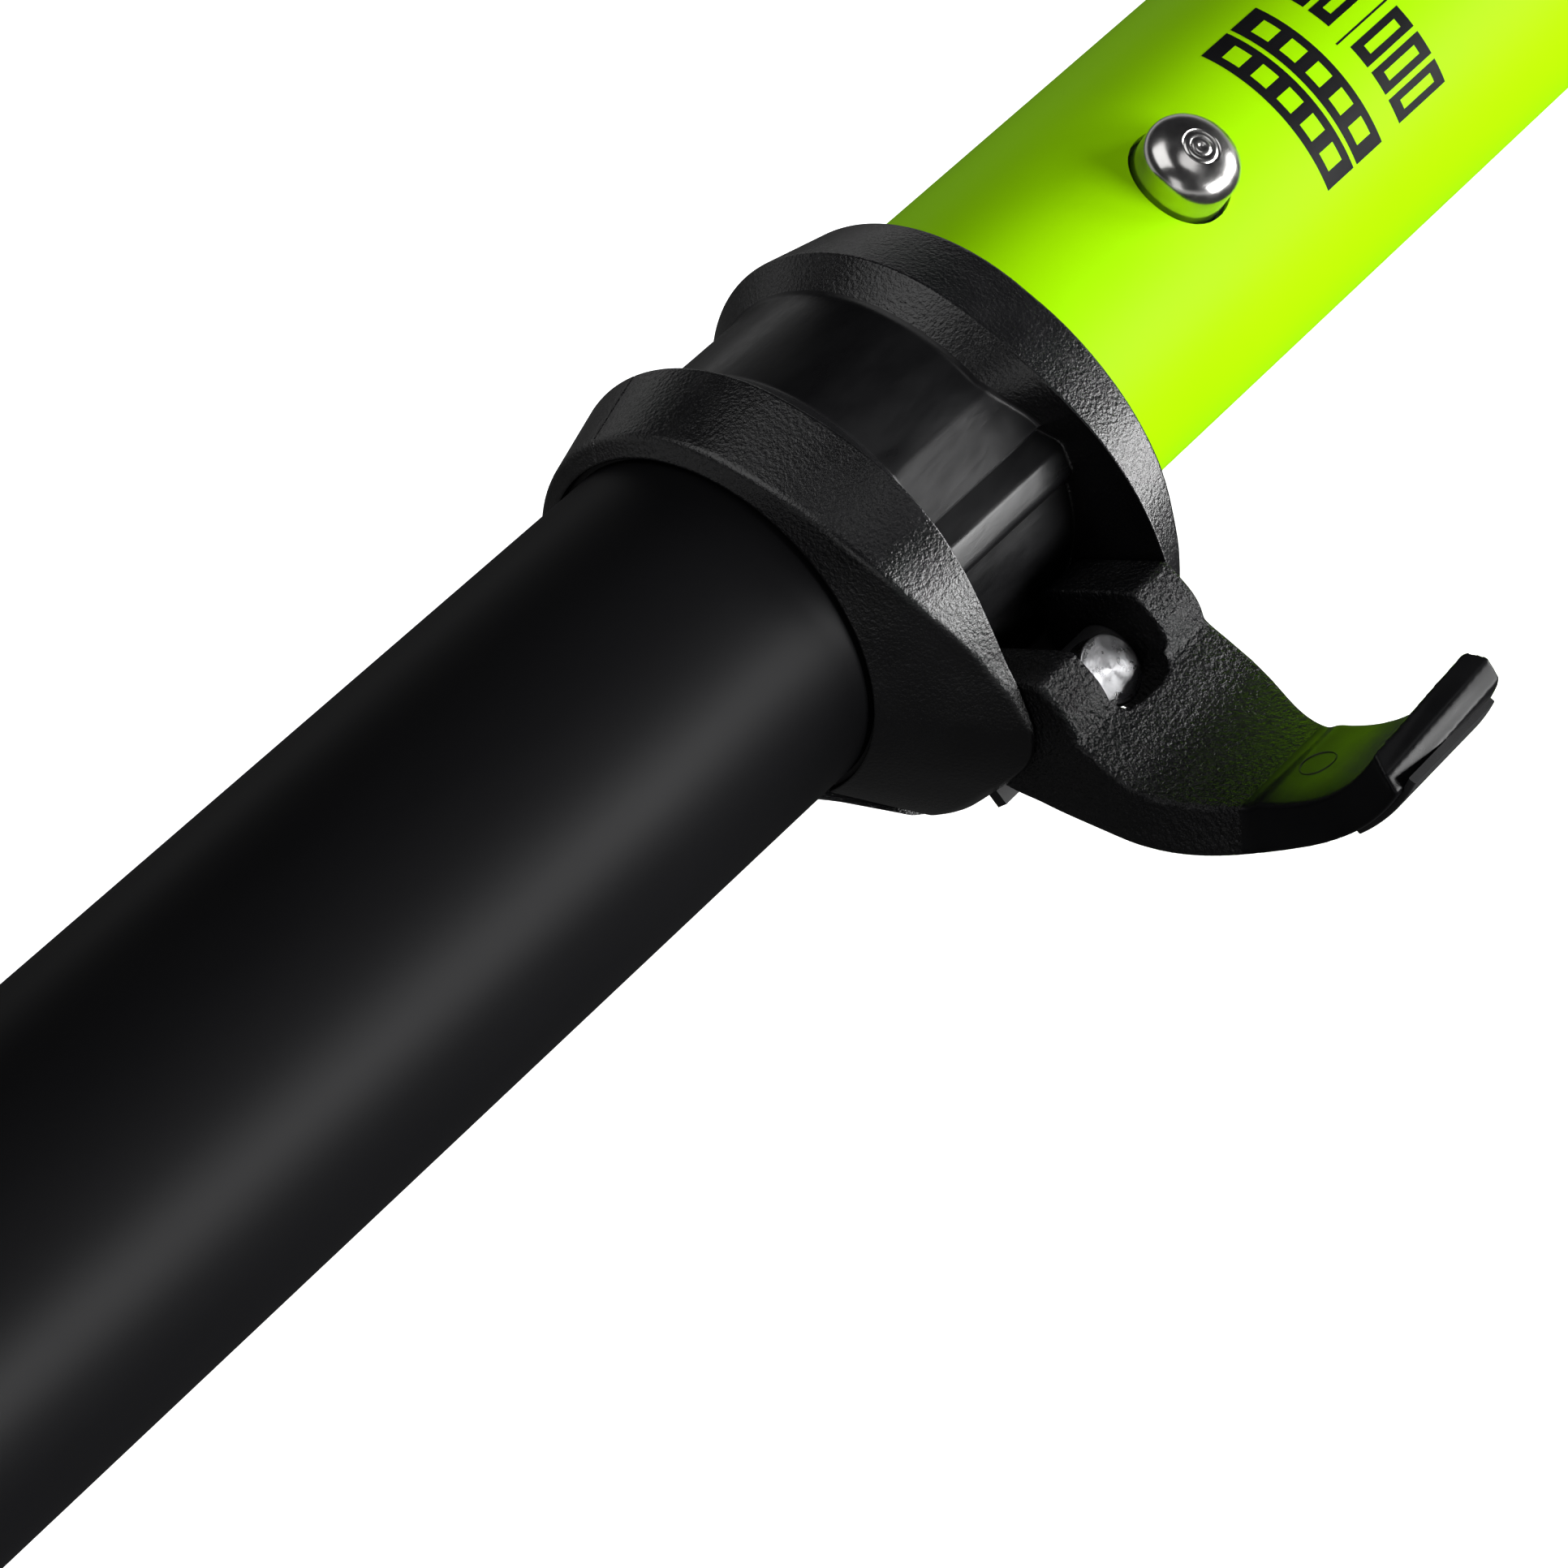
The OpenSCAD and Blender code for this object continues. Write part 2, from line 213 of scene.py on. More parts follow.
def cut(piece, *cutters):
    """Takes the cutters out of a piece, then throws them away."""
    for cutter in cutters:
        changed(piece, "BOOLEAN", object=cutter, operation="DIFFERENCE", solver="EXACT")
        bpy.data.objects.remove(cutter)


def drill(name, span, radius, steps, place):
    """A round cutter about Z, from one height to another."""
    start, end = span
    outline = [(start, 0), (start, radius), (end, radius), (end, 0)]
    return mesh_object(name, lathe(outline, steps, False), place)


def block(name, low, high, place):
    """A plain cutter between two corners."""
    (a, b, c), (d, e, f) = low, high
    ring = [(a, b), (d, b), (d, e), (a, e)]
    return mesh_object(name, loft([[(x, y, z) for x, y in ring] for z in (c, f)]), place)


def finished(piece, finishes, body, slot, *nodes):
    """Dresses a piece, names its body, and puts it in the place of its nodes; slot is not used."""
    piece.data.materials.clear()
    for material in finishes:
        piece.data.materials.append(material)
    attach(piece, body)
    if nodes:
        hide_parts(*nodes)


# ---------- finishes ----------
FINE_SHARE = 0.12                         # how much of the finest bumps goes into the roughness
RING_SPACING = 0.3142                     # metres between a wave texture's rings at scale 1


def node(tree, kind, inputs=None, **settings):
    """Adds a shader node; inputs are set by name."""
    made = tree.nodes.new(kind)
    for key, value in settings.items():
        setattr(made, key, value)
    for key, value in (inputs or {}).items():
        made.inputs[key].default_value = value
    return made


def finish(name, colour, roughness, metallic=0.0, grain=0.2, depth=0.01, patch=8.0,
           rough_shift=0.06, tint=0.12, stretch=(1, 1, 1), rings=0.0, extra=None):
    """A moulded, painted or turned surface. grain is the size of its finest bumps in millimetres,
    depth their height, patch the size of the slow changes, rough_shift and tint how far those move
    the roughness and the colour, stretch the grain's run, and rings half the spacing of turning
    marks about the piece's own axis."""
    material = bpy.data.materials.new(name)
    material.use_nodes = True
    tree = material.node_tree
    shader = tree.nodes["Principled BSDF"]
    shader.inputs["Metallic"].default_value = metallic
    for key, value in (extra or {}).items():
        shader.inputs[key].default_value = value
    place = node(tree, "ShaderNodeTexCoord")
    stretched = node(tree, "ShaderNodeMapping", {"Scale": stretch})
    tree.links.new(place.outputs["Object"], stretched.inputs["Vector"])

    fine = node(tree, "ShaderNodeTexNoise", {"Scale": 1 / (grain * MM), "Detail": 3.0, "Roughness": 0.6})
    slow = node(tree, "ShaderNodeTexNoise", {"Scale": 1 / (patch * MM), "Detail": 4.0, "Roughness": 0.55})
    for texture in (fine, slow):
        tree.links.new(stretched.outputs["Vector"], texture.inputs["Vector"])

    colours = node(tree, "ShaderNodeValToRGB")
    low, high = colours.color_ramp.elements
    low.position, high.position = 0.3, 0.72
    low.color = (*[c * (1 - tint) for c in colour], 1)
    high.color = (*[min(1, c * (1 + tint)) for c in colour], 1)
    tree.links.new(slow.outputs["Fac"], colours.inputs["Fac"])
    tree.links.new(colours.outputs["Color"], shader.inputs["Base Color"])

    rough = node(tree, "ShaderNodeMapRange", {"From Min": 0.3, "From Max": 0.7,
                                              "To Min": max(0.02, roughness - rough_shift),
                                              "To Max": roughness + rough_shift})
    both = node(tree, "ShaderNodeMath", {1: FINE_SHARE}, operation="MULTIPLY_ADD")
    tree.links.new(fine.outputs["Fac"], both.inputs[0])
    tree.links.new(slow.outputs["Fac"], both.inputs[2])
    tree.links.new(both.outputs["Value"], rough.inputs["Value"])
    tree.links.new(rough.outputs["Result"], shader.inputs["Roughness"])

    bump = node(tree, "ShaderNodeBump", {"Strength": 1.0, "Distance": depth * MM})
    tree.links.new(fine.outputs["Fac"], bump.inputs["Height"])
    tree.links.new(bump.outputs["Normal"], shader.inputs["Normal"])
    if rings:
        wave = node(tree, "ShaderNodeTexWave", {"Scale": RING_SPACING / (2 * rings * MM), "Distortion": 0.6,
                                                "Detail": 2.0, "Detail Scale": 30.0},
                    wave_type="RINGS", rings_direction="Z")
        turned = node(tree, "ShaderNodeBump", {"Strength": 1.0, "Distance": depth * MM})
        tree.links.new(place.outputs["Object"], wave.inputs["Vector"])
        tree.links.new(wave.outputs["Fac"], turned.inputs["Height"])
        tree.links.new(bump.outputs["Normal"], turned.inputs["Normal"])
        tree.links.new(turned.outputs["Normal"], shader.inputs["Normal"])
        around = node(tree, "ShaderNodeTangent", direction_type="RADIAL", axis="Z")
        tree.links.new(around.outputs["Tangent"], shader.inputs["Tangent"])
        shader.inputs["Anisotropic"].default_value = 0.75
    return material


def dress(name, material):
    """Puts a finish on a node of the frame."""
    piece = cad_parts[name]
    if not piece.material_slots:
        piece.data.materials.append(material)
    for place in piece.material_slots:
        place.material = material


# ---------- the user's sizes and colours ----------
class PaddleLooks(bpy.types.PropertyGroup):
    """Sizes and colours of the paddle's visible pieces"""

    black: bpy.props.FloatVectorProperty(
        name="Black parts", description="Colour of the black shaft, clamp and lever",
        subtype="COLOR", size=3, min=0, max=1, default=(0.0042, 0.0042, 0.0047))
    lime: bpy.props.FloatVectorProperty(
        name="Green shaft", description="Colour of the painted shaft",
        subtype="COLOR", size=3, min=0, max=1, default=(0.31, 0.7, 0.0))
    edge_round: bpy.props.FloatProperty(
        name="Edge rounding", description="Radius of the clamp's moulded edges, in millimetres",
        min=0.05, max=0.8, default=0.3)
    grain_size: bpy.props.FloatProperty(
        name="Grain size", description="Size of the moulded grain, in millimetres",
        min=0.05, max=1.0, default=0.2)
    floor_size: bpy.props.FloatProperty(
        name="Floor size", description="Side of the studio floor",
        unit="LENGTH", min=2, max=40, default=16)


class PaddleOperator(bpy.types.Operator):
    """What every step of the paddle has in common"""

    bl_options = {"REGISTER"}

    @staticmethod
    def looks():
        """The scene's sizes and colours"""
        return bpy.context.scene.paddle_looks


# ---------- shafts ----------
BLACK_R = 15.0
GREEN_R = 14.73
TUBE_EDGE = 0.18                          # rounding of the drawn tubes' ends
BUTTON_HOLE_R = 4.5
HOLE_SPAN = (8, 20)                       # how far from the axis the button's hole is cut
HOLE_STATIONS = (20, 29, 45, 60)          # rings in the wall on both sides of the button


def tube(name, start, end, radius, stations=()):
    """A drawn tube along the shaft with softened ends."""
    wall = [(x, radius) for x in (start, *stations, end)]
    corners = [(start, BORE_R), *wall, (end, BORE_R)]
    outline = soften(corners, TUBE_EDGE)
    return mesh_object(name, lathe(outline, TUBE_SIDES), ON_AXIS @ ALONG_X, crease=50)


class PADDLE_OT_shafts(PaddleOperator):
    """The black and the green halves of the shaft"""

    bl_idname = "paddle.shafts"
    bl_label = "Shafts"

    def execute(self, context):
        looks = self.looks()
        satin = finish("satin_black_shaft", looks.black, 0.44, grain=0.09, depth=0.0016, patch=14,
                       rough_shift=0.03, tint=0.1, stretch=(1, 1, 0.25), extra={"Specular IOR Level": 0.055})
        paint = finish("lime_paint", looks.lime, 0.45, grain=0.5, depth=0.0012, patch=22,
                       rough_shift=0.04, tint=0.03, extra={"Specular IOR Level": 0.03})
        black = tube("black_shaft_tube", -SHAFT_END, SHAFT_SHARED, BLACK_R)
        finished(black, [satin], "black_half", "shaft_black", "shaft_black")
        green = tube("green_shaft_tube", GREEN_START, SHAFT_END, GREEN_R, HOLE_STATIONS)
        cut(green, drill("button_bore", HOLE_SPAN, BUTTON_HOLE_R, FINE_SIDES, AT_BUTTON))
        shade(green, 40)
        finished(green, [paint], "green_half", "shaft_green", "shaft_green")
        return {"FINISHED"}


# ---------- print on the green shaft ----------
# All in millimetres along the shaft and degrees around it
INK_LIFT = 0.02
BLOCK_LIFT = 0.035                        # the blocks lie on top of the bars
BARS = ((48.6, 52.3), (52.8, 56.5))
BAR_ANGLES = (0.5, 61.5)
RULE = (58.3, 70.5, 27.6, 28.3)
FRAMES = ((3.0, 2), (31.5, 3))            # (first angle, how many) hollow frames
FRAME_PITCH, FRAME_WIDTH, FRAME_STROKE = 10.5, 8.5, 2.6
FRAME_ENDS = ((59.2, 60.4), (64.9, 66.1))
FRAME_SIDES = (60.3, 65.0)
BLOCK_ROWS = (49.5, 53.7)
BLOCK_LENGTH, BLOCK_COUNT = 1.9, 5
BLOCK_FIRST, BLOCK_PITCH, BLOCK_WIDTH = 6, 11.0, 6.5


def printed(low_x, high_x, low_a, high_a, lift=INK_LIFT, depth=0.03, step=1.0):
    """A thin printed patch wrapped on the green shaft, between two angles in degrees."""
    rings = []
    for a in np.linspace(low_a, high_a, max(2, int((high_a - low_a) / step) + 1)):
        s, c = math.sin(math.radians(a)), math.cos(math.radians(a))
        inner, outer = GREEN_R + lift - depth, GREEN_R + lift
        rings.append([(x, -r * s, r * c) for x, r in
                      ((low_x, inner), (high_x, inner), (high_x, outer), (low_x, outer))])
    return loft(rings)


def joined(shapes):
    """Several shapes as one mesh."""
    verts, faces, start = [], [], 0
    for v, f in shapes:
        verts.extend(v)
        faces.extend(tuple(i + start for i in face) for face in f)
        start += len(v)
    return np.array(verts), faces


class PADDLE_OT_marks(PaddleOperator):
    """Plain bars, blocks and frames printed beside the snap button"""

    bl_idname = "paddle.marks"
    bl_label = "Printed marks"

    def execute(self, context):
        ink = finish("black_ink", (0.006, 0.006, 0.007), 0.45, grain=0.12, depth=0.002, patch=3,
                     extra={"Specular IOR Level": 0.05})
        looks = self.looks()
        paint = finish("lime_blocks", looks.lime, 0.45, grain=0.4, depth=0.001, patch=9, tint=0.03,
                       extra={"Specular IOR Level": 0.03})
        bars = [printed(*bar, *BAR_ANGLES) for bar in BARS]
        bars.append(printed(*RULE))
        for first, count in FRAMES:
            for k in range(count):
                low = first + FRAME_PITCH * k
                high = low + FRAME_WIDTH
                bars += [printed(*end, low, high) for end in FRAME_ENDS]
                bars += [printed(*FRAME_SIDES, low, low + FRAME_STROKE),
                         printed(*FRAME_SIDES, high - FRAME_STROKE, high)]
        finished(mesh_object("printed_bars", joined(bars), ON_AXIS), [ink], "green_half", "shaft_green")
        blocks = []
        for low in BLOCK_ROWS:
            for k in range(BLOCK_COUNT):
                start = BLOCK_FIRST + BLOCK_PITCH * k
                blocks.append(printed(low, low + BLOCK_LENGTH, start, start + BLOCK_WIDTH, lift=BLOCK_LIFT))
        finished(mesh_object("printed_blocks", joined(blocks), ON_AXIS), [paint], "green_half", "shaft_green")
        return {"FINISHED"}


# ---------- clamp ----------
# (angle from the clamp's top towards the lever, radius) of each rim's crest, and how far along the
# shaft its front edge stands
NEAR_CREST = [(-180, 18.95), (-90, 18.95), (-28, 18.95), (-10, 19.5), (0, 20.1), (13, 20.8), (25, 21.25),
              (36, 21.7), (46, 22.5), (55, 24.1), (62, 25.3), (67, 25.5), (75, 24.75), (84, 23.9),
              (94, 23.4), (104, 22.6), (111, 21.3), (119, 19.5), (128, 18.95), (180, 18.95)]
NEAR_FRONT = [(-180, -15.85), (-20, -15.8), (5, -15.45), (15, -14.85), (28, -13.5), (46, -10.9),
              (57, -9.8), (66, -9.5), (80, -9.9), (104, -10.2), (111, -10.3), (119, -11.0), (128, -12.0),
              (150, -14.3), (170, -15.85), (180, -15.85)]
FAR_CREST = [(-180, 18.8), (-90, 18.8), (-12, 18.8), (0, 19.1), (15, 20.0), (30, 21.6), (40, 22.9),
             (47, 23.8), (55, 24.8), (63, 25.4), (75, 24.75), (90, 23.3), (104, 22.2), (114, 21.3),
             (125, 20.2), (134, 19.2), (142, 18.8), (180, 18.8)]
FAR_FRONT = [(-180, 15.1), (0, 15.05), (15, 14.8), (30, 14.1), (40, 13.3), (50, 12.0), (60, 10.7),
             (66, 9.8), (75, 9.6), (104, 9.6), (119, 10.9), (128, 12), (150, 14.3), (170, 15.1), (180, 15.1)]
CHEEK = [(90, 23.2), (102, 22.0), (113.7, 21.3), (125.4, 20.3), (134, 18.9), (142, 16.6)]
COLLAR_BORE_R = 15.45
BOLT_HOLE_R = 2.3
SPLIT_SPAN = (-13.8, -11.8)               # along the bolt from the hinge
NUT_SEAT = -16.35
NEAR_END, FAR_END = -16.6, 15.15
GLOSS_R = 17.6                            # inside this radius the spool is smooth
CLAMP_GRAIN = 1.6                         # the rims' grain against the scene's grain size
CREST_X = 9.05
WALL_RUN = 2.6                            # how far the channel's sloped walls run along the shaft
PARTING_ANGLE = -76.0
ANGLE_STEP, LEAST_STEP = 1.25, 0.2
SHARP_ANGLES = (1.6, 2.4, 17.9, 18.3, 18.9, 19.4, 20.2, 24.4, 25.6, 26.9, 27.6, 89.4, 89.8, 90.2)


def channel_floor(a):
    """Radius of the spool between the rims, with its flat, groove, ridge and hinge pocket."""
    if a < 2 or a > 142:
        return SPOOL_R
    if a <= 18.3:
        return SPOOL_R * math.cos(math.radians(8.15)) / math.cos(math.radians(a - 10.15))
    if a <= 19.1:
        return SPOOL_R - 0.17 - 0.4 * smooth((a - 18.3) / 0.8)
    if a <= 26.5:
        return SPOOL_R - 0.57 + 0.95 * (a - 19.1) / 7.4
    if a <= 34:
        return SPOOL_R + 0.38
    if a <= 38:
        return SPOOL_R + 0.38 - 1.0 * smooth((a - 34) / 4)
    if a < 89.8:
        return SPOOL_R - 0.6
    return max(SPOOL_R, curve_through(CHEEK, a))


def collar_section(a, soft):
    """The clamp's wall at one angle, as (along the shaft, radius)."""
    near, far = curve_through(NEAR_CREST, a), curve_through(FAR_CREST, a)
    near_x, far_x = curve_through(NEAR_FRONT, a), curve_through(FAR_FRONT, a)
    line = 0.16 * max(0.0, 1 - abs(a - PARTING_ANGLE) / 0.5)
    slope = 1 - smooth((a - 18) / 8) if a < 100 else smooth((a - 136) / 8)
    far_crest = CREST_X - 0.85 * (1 - smooth((a + 20) / 60) if a < 100 else slope)
    run = WALL_RUN * (1 - smooth((a + 4) / 24)) if a < 100 else WALL_RUN * slope
    floor = channel_floor(a)
    draft = 0.268 + 0.3 * smooth((a - 72) / 10) * smooth((120 - a) / 8)
    corners = [(NEAR_END, COLLAR_BORE_R),
               (near_x, near + draft * (near_x + CREST_X) - line),
               (-CREST_X, near - line),
               (-CREST_X + 0.1 + WALL_RUN * slope, floor),
               (CREST_X - 0.1 - 0.85 * slope - run, floor),
               (far_crest, far),
               (far_x, far - 0.2 * (far_x - far_crest)),
               (FAR_END, COLLAR_BORE_R)]
    return soften(corners, [0.25, 1.3 * soft, 0.6 * soft, soft, soft, 0.5 * soft, 1.2 * soft, 0.25])


def collar_angles():
    """The angles of the collar's sections, closer where its shape turns sharply."""
    angles = set(np.round(np.arange(-180, 180, ANGLE_STEP), 3))
    angles |= {PARTING_ANGLE + d for d in (-0.5, -0.25, 0, 0.25, 0.5)}
    angles |= set(SHARP_ANGLES)
    kept = []
    for a in sorted(angles):
        if not kept or a - kept[-1] > LEAST_STEP:
            kept.append(a)
    return kept


class PADDLE_OT_clamp(PaddleOperator):
    """The moulded collar with its two rims, spool, hinge pocket and noses"""

    bl_idname = "paddle.clamp"
    bl_label = "Clamp"

    def execute(self, context):
        looks = self.looks()
        rings = []
        for a in collar_angles():
            s, c = math.sin(math.radians(a)), math.cos(math.radians(a))
            rings.append([(x, -r * s, r * c) for x, r in collar_section(a, looks.edge_round)])
        collar = mesh_object("clamp_collar_moulding", loft(rings, around=True), IN_CLAMP, crease=38)
        split = block("split", (-25, -9, SPLIT_SPAN[0]), (25, 9, SPLIT_SPAN[1]), AT_BOLT)
        seat = block("nut_seat", (-6, -8, -27), (6, 8, NUT_SEAT), AT_BOLT)
        hole = drill("bolt_hole", (-26, 9), BOLT_HOLE_R, 48, AT_BOLT)
        cut(collar, split, seat, hole)
        shade(collar, 38)
        grained = finish("clamp_grain", looks.black, 0.22, grain=looks.grain_size * CLAMP_GRAIN, depth=0.075,
                         patch=5, rough_shift=0.06, tint=0.2, extra={"Specular IOR Level": 0.5})
        glossy = finish("clamp_spool_gloss", looks.black, 0.33, grain=0.5, depth=0.012, patch=4,
                        rough_shift=0.1, tint=0.2, stretch=(0.35, 1, 1), extra={"Specular IOR Level": 0.3})
        finished(collar, [grained, glossy], "black_half", "clamp_nylon", "clamp_collar")
        for polygon in collar.data.polygons:
            x, y, z = polygon.center / MM
            polygon.material_index = int(abs(x) < CREST_X - 0.3 and math.hypot(y, z) < GLOSS_R)
        liner = finish("liner_nylon", (0.012, 0.012, 0.013), 0.5, grain=0.2, depth=0.01, patch=4)
        dress("clamp_liner", liner)
        return {"FINISHED"}


# ---------- lever ----------
LEVER_IN = 17.5
LEVER_OUT = 20.75
TIP_ANGLE = 109.5
ARM_SHIFT = (0, 0.45)                     # the handle's curve stands a little off the shaft's axis
EAR_HALF = 8.75
SLOT_HALF = 3.9
SLOT_R = 7.3
CAM_CENTRE = (1.3, 1.5)                   # the cam's lobe from the pivot, with the lever open
CAM_R = 6.2
CAM_TOP = 7.45                            # the lobe is flat where it clears the spool once shut
CAM_FLAT = 29.4                           # the direction that faces the saddle once shut
CAM_FLAT_REACH = 5.92
CAM_BLEND = 5                             # how sharply the lobe meets its flats
CAM_FACING = 0.4                          # the flats count only within this cosine of their direction
EAR_BEVEL = 0.3
PIN_BORE_R, PIN_REACH = 2.85, 8.4
FACE_TIP, BACK_TIP = 5.5, 6.4             # half the handle's width, inside and on its back
TIP_SKEW = 0.7                            # degrees for each millimetre across the handle's end
TIP_THIN, TIP_FADE = 0.45, 4.5            # share of its thickness lost over the last few degrees
SLEEK_FROM = 52                           # beyond this angle from the hinge the handle is smooth
LEVER_GRAIN = 2.0
VOXEL = 0.16
PAD_ANGLES, PAD_SPAN = (82, 106.1), (-5.75, 5.05)
PAD_SINK, PAD_RISE = 0.15, 0.5
MARK_ANGLE, MARK_R, MARK_WIRE = 63, 1.5, 0.07
MARK_X = -0.15


def across(radius, a):
    """A point on the shut lever: radius from the shaft's axis, angle from the hinge in degrees."""
    turn = math.radians(a - PIVOT_ANGLE)
    return radius * math.sin(turn) + ARM_SHIFT[0], radius * math.cos(turn) + ARM_SHIFT[1]


# (angle from the hinge, swell) of the lever's back, which thickens towards the hinge
BACK_SWELL = [(0, 7.3), (10, 5.2), (20, 3.5), (30, 2.4), (40, 1.65), (50, 1.05), (58, 0.6), (68, 0.15),
              (80, 0), (120, 0)]


def back_radius(a):
    """The radius of the lever's back at one angle."""
    return LEVER_OUT + curve_through(BACK_SWELL, a)


def lever_section(a):
    """The lever's wall at one angle, as (along the shaft, radius)."""
    inner = LEVER_IN - 0.46 * (1 - smooth(a / 10)) + 0.45 * smooth((a - 14) / 14) * smooth((58 - a) / 5)
    outer = back_radius(a)
    face = EAR_HALF + (FACE_TIP - EAR_HALF) * smooth((a - 22) / 34)
    back = EAR_HALF + (BACK_TIP - EAR_HALF) * smooth((a - 26) / 36)
    middle = -0.35 * smooth((a - 20) / 25)
    corners = [(middle - face, inner), (middle + face, inner), (middle + back, outer), (middle - back, outer)]
    return soften(corners, [0.35, 0.35, 0.6, 0.6])


def held_under(radius, limit):
    """Keeps a radius under a limit, with a rounded change between the two."""
    return -math.log(math.exp(-CAM_BLEND * radius) + math.exp(-CAM_BLEND * limit)) / CAM_BLEND


def cam_ring(x, inset):
    """One outline of the ears' lobe about the hinge."""
    lobe = []
    for a in np.arange(-180, 180, 3.0):
        turn = math.radians(a)
        along = CAM_CENTRE[0] * math.cos(turn) + CAM_CENTRE[1] * math.sin(turn)
        aside = CAM_CENTRE[0] * math.sin(turn) - CAM_CENTRE[1] * math.cos(turn)
        r = along + math.sqrt(CAM_R ** 2 - aside ** 2)
        facing = math.cos(turn - math.radians(CAM_FLAT))
        if facing > CAM_FACING:                         # the flat that holds the lever shut
            r = held_under(r, CAM_FLAT_REACH / facing)
        if math.sin(turn) > CAM_FACING:
            r = held_under(r, CAM_TOP / math.sin(turn))
        lobe.append((x, (r - inset) * math.cos(turn), (r - inset) * math.sin(turn)))
    return lobe


class PADDLE_OT_lever(PaddleOperator):
    """The cam lever with its two ears, its thumb pad and its moulding marks"""

    bl_idname = "paddle.lever"
    bl_label = "Lever"

    def execute(self, context):
        looks = self.looks()
        rings = []
        for a in np.linspace(0, TIP_ANGLE, 76):
            skew = TIP_SKEW * smooth((a - 92) / 18)     # the handle's end runs slantwise across it
            thin = 1 - TIP_THIN * smooth((a - TIP_ANGLE + TIP_FADE) / TIP_FADE) ** 2
            section = [(x, LEVER_IN + (r - LEVER_IN) * thin) for x, r in lever_section(a)]
            rings.append([(x, *across(r, a + skew * x)) for x, r in section])
        arm = mesh_object("lever_arm_moulding", loft(rings), OPENED)
        lobes = [cam_ring(x, inset) for x, inset in ((-EAR_HALF, EAR_BEVEL), (-EAR_HALF + EAR_BEVEL, 0),
                                                     (EAR_HALF - EAR_BEVEL, 0), (EAR_HALF, EAR_BEVEL))]
        barrel = mesh_object("knuckle", loft(lobes), AT_PIVOT)
        changed(arm, "BOOLEAN", object=barrel, operation="UNION", solver="EXACT")
        bpy.data.objects.remove(barrel)
        corners = [(-SLOT_HALF, 0), (-SLOT_HALF, SLOT_R), (SLOT_HALF, SLOT_R), (SLOT_HALF, 0)]
        end = soften(corners, 2.4, closed=False)
        slot = mesh_object("ear_slot", lathe(end, FINE_SIDES, False), AT_PIVOT @ ALONG_X)
        reach = block("ear_slot_open", (-SLOT_HALF, -2.2, -12), (SLOT_HALF, 12, 12), AT_PIVOT)
        bore = drill("pin_bore", (-PIN_REACH, PIN_REACH), PIN_BORE_R, 64, AT_PIVOT @ ALONG_X)
        cut(arm, slot, reach, bore)
        changed(arm, "REMESH", mode="VOXEL", voxel_size=VOXEL * MM)
        changed(arm, "SMOOTH", factor=0.5, iterations=4)
        shade(arm, 60)
        grained = finish("lever_grain", looks.black, 0.22, grain=looks.grain_size * LEVER_GRAIN, depth=0.32,
                         patch=4, rough_shift=0.06, tint=0.25, extra={"Specular IOR Level": 0.26})
        sleek = finish("lever_smooth", looks.black, 0.3, grain=0.35, depth=0.004, patch=5, tint=0.2,
                       extra={"Specular IOR Level": 0.13})
        finished(arm, [grained, sleek], "lever_arm", "lever_nylon", "lever")
        for polygon in arm.data.polygons:
            _, y, z = polygon.center / MM
            turn = math.degrees(math.atan2(y, z)) + PIVOT_ANGLE
            polygon.material_index = int(turn > SLEEK_FROM)

        rings = []
        low, high = LEVER_OUT - PAD_SINK, LEVER_OUT + PAD_RISE
        left, right = PAD_SPAN
        for a in np.arange(*PAD_ANGLES, 1.5):
            section = soften([(left, low), (right, low), (right, high), (left, high)], 0.2)
            rings.append([(x, *across(r, a)) for x, r in section])
        pad = mesh_object("thumb_pad", loft(rings), OPENED)
        rubber = finish("pad_rubber_grain", (0.011, 0.011, 0.012), 0.55, grain=0.18, depth=0.02, patch=3)
        finished(pad, [rubber], "lever_arm", "pad_rubber", "lever_pad")

        ring = []
        for a in np.linspace(0, 2 * math.pi, 48, endpoint=False):
            loop = []
            for b in np.linspace(0, 2 * math.pi, 8, endpoint=False):
                out = MARK_R + MARK_WIRE * math.cos(b)
                x, along = MARK_X + out * math.cos(a), out * math.sin(a)
                angle = MARK_ANGLE + math.degrees(along / LEVER_IN)
                loop.append((x, *across(LEVER_IN + MARK_WIRE * math.sin(b), angle)))
            ring.append(loop)
        mark = mesh_object("ejector_ring", loft(ring, around=True), OPENED)
        dark = finish("ejector_edge", (0.004, 0.004, 0.004), 0.5, grain=0.1, depth=0.002)
        finished(mark, [dark], "lever_arm", "lever_nylon")
        return {"FINISHED"}


# ---------- hinge hardware ----------
# (height along the bolt from the hinge, radius)
BOLT_OUTLINE = [(-21.85, 0), (-21.85, 2.0), (2.1, 2.0), (2.2, 2.9), (4.35, 2.9), (4.4, 0)]
THREAD_R = 2.1
NUT_OUTLINE = [(-20.4, THREAD_R), (-20.4, 4.0), (-17.2, 4.0), (-17.2, THREAD_R)]


def hexagon_ring(height, radius, count=96):
    """A ring of the nut: round at the thread, six-sided outside."""
    ring = []
    share = smooth((radius - THREAD_R) / 1.2)
    for a in np.linspace(0, 2 * math.pi, count, endpoint=False):
        side = math.cos(math.radians(30)) / math.cos((a + math.pi / 6) % (math.pi / 3) - math.pi / 6)
        reach = radius * (1 - share + share * min(1.0, side))
        ring.append((reach * math.cos(a), reach * math.sin(a), height))
    return ring


